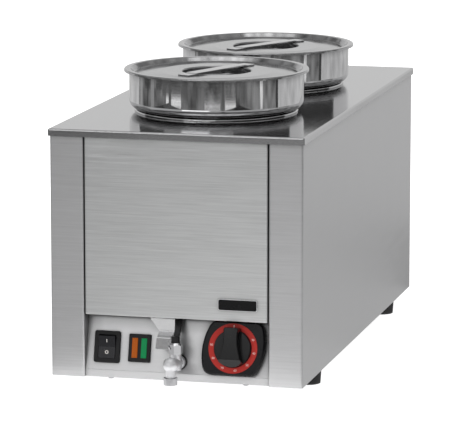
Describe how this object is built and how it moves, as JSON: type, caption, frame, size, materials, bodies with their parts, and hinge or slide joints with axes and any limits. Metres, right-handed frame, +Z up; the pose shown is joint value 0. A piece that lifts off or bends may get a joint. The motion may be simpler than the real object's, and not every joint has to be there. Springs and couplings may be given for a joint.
{
  "type": "bain marie",
  "caption": "Counter-top electric bain marie: brushed steel box with lidded round pots hung in a heated water tank, a thermostat dial, rocker switch, pilot lamp and drain tap.",
  "frame": {"origin": "on the table, midway between the rubber feet, under the middle of the deck", "axes": "+X to the right seen from the front, +Y to the back, +Z up; the controls face -Y"},
  "size_m": [0.29, 0.6579, 0.3408],
  "materials": {
    "brushed_stainless": "brushed stainless sheet",
    "polished_stainless": "mirror-polished stainless",
    "steel_fasteners": "bright steel",
    "chromed_brass": "chromed brass casting",
    "plain_brass": "turned brass",
    "drain_steel": "drawn stainless tube",
    "element_sheath": "dark annealed sheath",
    "black_plastic": "fine textured black moulding",
    "black_rocker": "smooth black moulding",
    "red_scale": "red moulded ring",
    "orange_lens": "ribbed orange lens",
    "green_lens": "ribbed green lens",
    "black_rubber": "black rubber",
    "dark_plate": "plain dark plate",
    "thermostat_case": "phenolic moulding",
    "pale_plastic": "pale moulding",
    "wire_sleeve": "silicone wire sleeve"
  },
  "bodies": {
    "casing": {"deck_plate": "brushed_stainless", "side_panel_left": "brushed_stainless", "side_panel_right": "brushed_stainless", "front_panel": "brushed_stainless", "control_panel": "brushed_stainless", "panel_screws": "steel_fasteners", "back_panel": "brushed_stainless", "back_screws": "steel_fasteners", "base_plate": "brushed_stainless", "foot_screws": "steel_fasteners", "foot_nuts": "steel_fasteners", "water_tank": "brushed_stainless", "drain_pipe": "drain_steel", "drain_union": "plain_brass", "tap_lock_nut": "plain_brass", "tap_seal_ring": "black_rubber", "tap_body": "chromed_brass", "tap_nozzle": "chromed_brass", "tap_bonnet": "chromed_brass", "lever_guard": "brushed_stainless", "guard_rivets": "steel_fasteners", "switch_housing": "black_plastic", "lamp_housing": "black_plastic", "lamp_lens_orange": "orange_lens", "lamp_lens_green": "green_lens", "dial_bezel": "black_plastic", "dial_ring": "red_scale", "thermostat_body": "thermostat_case", "thermostat_screws": "steel_fasteners", "thermostat_bulb": "plain_brass", "heating_element": "element_sheath", "element_clamps": "brushed_stainless", "clamp_studs": "steel_fasteners", "clamp_nuts": "steel_fasteners", "thermal_cutout": "thermostat_case", "terminal_block": "pale_plastic", "wiring_loom": "wire_sleeve", "cable_gland": "black_plastic", "gland_nut": "black_plastic", "badge_plate": "dark_plate", "rubber_foot_front_left": "black_rubber", "rubber_foot_front_right": "black_rubber", "rubber_foot_rear_left": "black_rubber", "rubber_foot_rear_right": "black_rubber"},
    "dial_knob": {"knob": "black_plastic", "thermostat_spindle": "steel_fasteners"},
    "rocker": {"switch_rocker": "black_rocker"},
    "tap_valve": {"tap_lever": "black_plastic", "tap_plug": "plain_brass"},
    "front_pot": {"pot_front": "polished_stainless"},
    "rear_pot": {"pot_rear": "polished_stainless"},
    "front_lid": {"lid_front": "polished_stainless", "lid_handle_front": "polished_stainless"},
    "rear_lid": {"lid_rear": "polished_stainless", "lid_handle_rear": "polished_stainless"}
  },
  "joints": [
    {"name": "knob_turn", "type": "hinge", "parent": "casing", "child": "dial_knob", "pos_m": [0.0643, -0.28946, 0.05325], "axis": [0, 0.9724, -0.2334], "range_deg": [0, 280]},
    {"name": "rocker_press", "type": "hinge", "parent": "casing", "child": "rocker", "pos_m": [-0.0807, -0.29062, 0.04839], "axis": [-1, 0, 0], "range_deg": [0, 16]},
    {"name": "tap_turn", "type": "hinge", "parent": "casing", "child": "tap_valve", "pos_m": [0.0025, -0.30945, 0.03809], "axis": [0, 0, -1], "range_deg": [0, 90]},
    {"name": "front_pot_lift", "type": "slide", "parent": "casing", "child": "front_pot", "axis": [0, 0, 1], "range_m": [0, 0.2]},
    {"name": "front_lid_lift", "type": "slide", "parent": "front_pot", "child": "front_lid", "axis": [0, 0, 1], "range_m": [0, 0.06]},
    {"name": "rear_pot_lift", "type": "slide", "parent": "casing", "child": "rear_pot", "axis": [0, 0, 1], "range_m": [0, 0.2]},
    {"name": "rear_lid_lift", "type": "slide", "parent": "rear_pot", "child": "rear_lid", "axis": [0, 0, 1], "range_m": [0, 0.06]}
  ]
}
